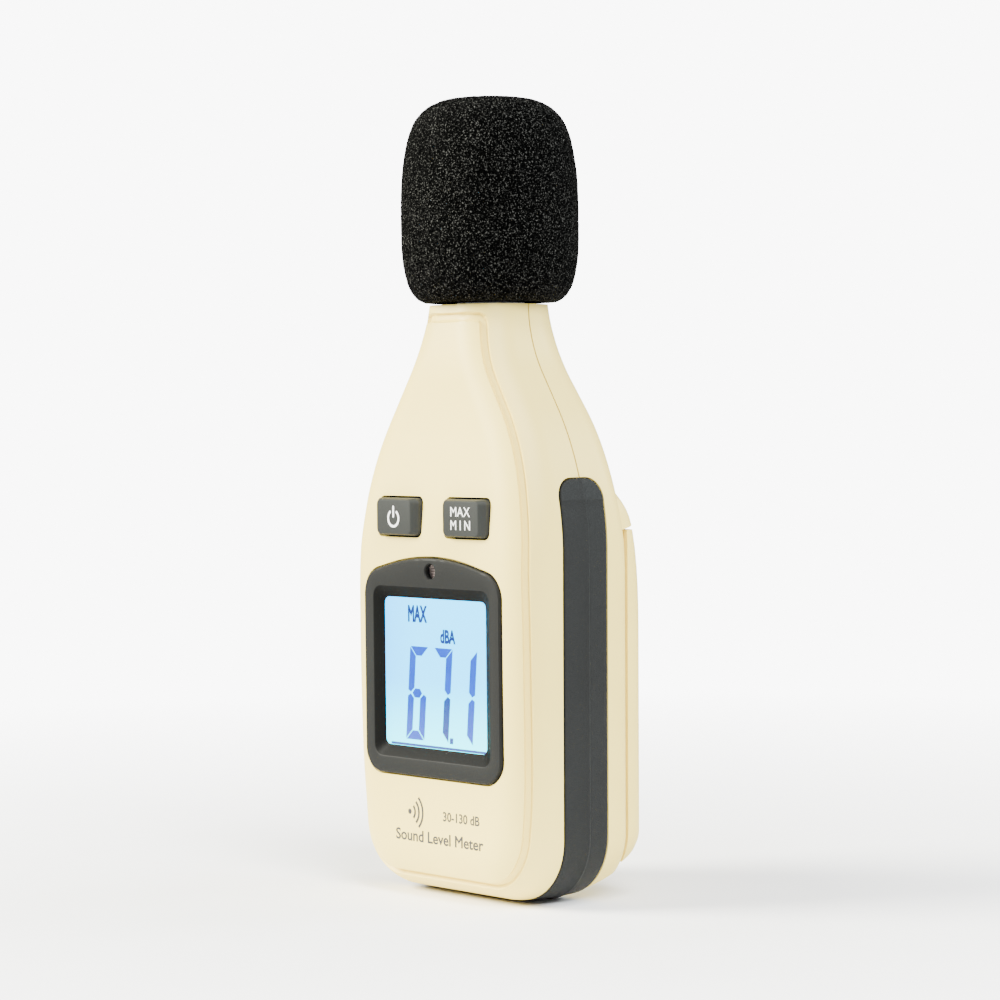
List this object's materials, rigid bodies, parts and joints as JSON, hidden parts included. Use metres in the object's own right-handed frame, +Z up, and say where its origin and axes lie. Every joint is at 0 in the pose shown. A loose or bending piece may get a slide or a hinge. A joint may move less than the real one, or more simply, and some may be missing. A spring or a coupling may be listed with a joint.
{
  "type": "sound level meter",
  "caption": "Pocket sound level meter: two-part case with grip band, lit display, keys, foam windscreen over the microphone, and a tilting battery cover.",
  "frame": {"origin": "bottom centre of the meter: under the grip band, below the microphone's axis, on the plane where the case halves part", "axes": "+Z up along the microphone's axis, the display faces -Y, +X is to the right when facing the display"},
  "size_m": [0.0524, 0.0334, 0.149],
  "materials": {
    "case_plastic": "cream, fine satin texture",
    "grip_rubber": "slate grey, fine leathery grain",
    "bezel_plastic": "dark grey satin",
    "window_clear": "clear",
    "lcd_panel": "backlit pale blue",
    "white_plastic": "white",
    "black_rubber": "matt",
    "sensor_ceramic": "photocell face with a dark track",
    "key_plastic": "mid grey with white print",
    "black_plastic": "matt",
    "board_laminate": "green solder mask",
    "plated_steel": "nickel plated",
    "blue_plastic": "moulded",
    "cell_jacket": "plain printed jacket",
    "red_wire": "insulation",
    "mic_metal": "satin",
    "foam": "open-cell polyurethane foam, black"
  },
  "bodies": {
    "case": {"front_shell": "case_plastic", "rear_shell": "case_plastic", "grip_band": "grip_rubber", "display_bezel": "bezel_plastic", "display_window": "window_clear", "lcd_glass": "lcd_panel", "lcd_backlight": "white_plastic", "zebra_strip": "black_rubber", "light_sensor": "sensor_ceramic", "power_switch": "black_plastic", "max_min_switch": "black_plastic", "main_board": "board_laminate", "mcu_chip": "black_plastic", "amplifier_chip": "black_plastic", "crystal": "plated_steel", "capacitor_1": "plated_steel", "capacitor_2": "plated_steel", "trimmer_body": "blue_plastic", "board_screw_1": "plated_steel", "board_screw_2": "plated_steel", "board_screw_3": "plated_steel", "board_screw_4": "plated_steel", "case_screw_1": "plated_steel", "case_screw_2": "plated_steel", "case_screw_3": "plated_steel", "case_screw_4": "plated_steel", "battery_1": "cell_jacket", "battery_2": "cell_jacket", "battery_3": "cell_jacket", "contact_spring_1": "plated_steel", "contact_spring_2": "plated_steel", "contact_spring_3": "plated_steel", "terminal_plate_negative": "plated_steel", "terminal_plate_positive": "plated_steel", "bridge_plate_bottom": "plated_steel", "bridge_plate_top": "plated_steel", "battery_lead_black": "black_plastic", "battery_lead_red": "red_wire", "mic_lead_black": "black_plastic", "mic_lead_red": "red_wire", "mic_tube": "mic_metal", "mic_grid": "mic_metal", "mic_capsule": "plated_steel", "mic_gasket": "black_rubber"},
    "power_key": {"power_button": "key_plastic", "power_plunger": "white_plastic"},
    "max_min_key": {"max_min_button": "key_plastic", "max_min_plunger": "white_plastic"},
    "cover": {"battery_cover": "case_plastic"},
    "foam": {"windscreen": "foam"},
    "trimmer": {"trimmer_rotor": "white_plastic"}
  },
  "joints": [
    {"name": "power_press", "type": "slide", "parent": "case", "child": "power_key", "axis": [0, 1, 0], "range_m": [0, 0.0005], "stiffness_N_per_m": 400},
    {"name": "max_min_press", "type": "slide", "parent": "case", "child": "max_min_key", "axis": [0, 1, 0], "range_m": [0, 0.0005], "stiffness_N_per_m": 400},
    {"name": "battery_cover_tilt", "type": "hinge", "parent": "case", "child": "cover", "pos_m": [0, 0.0102, 0.0069], "axis": [-1, 0, 0], "range_deg": [0, 55]},
    {"name": "windscreen_pull", "type": "slide", "parent": "case", "child": "foam", "axis": [0, 0, 1], "range_m": [0, 0.045]},
    {"name": "trimmer_turn", "type": "hinge", "parent": "case", "child": "trimmer", "pos_m": [0.0103, -0.0027, 0.0703], "axis": [0, 1, 0], "range_deg": [-135, 135]}
  ]
}
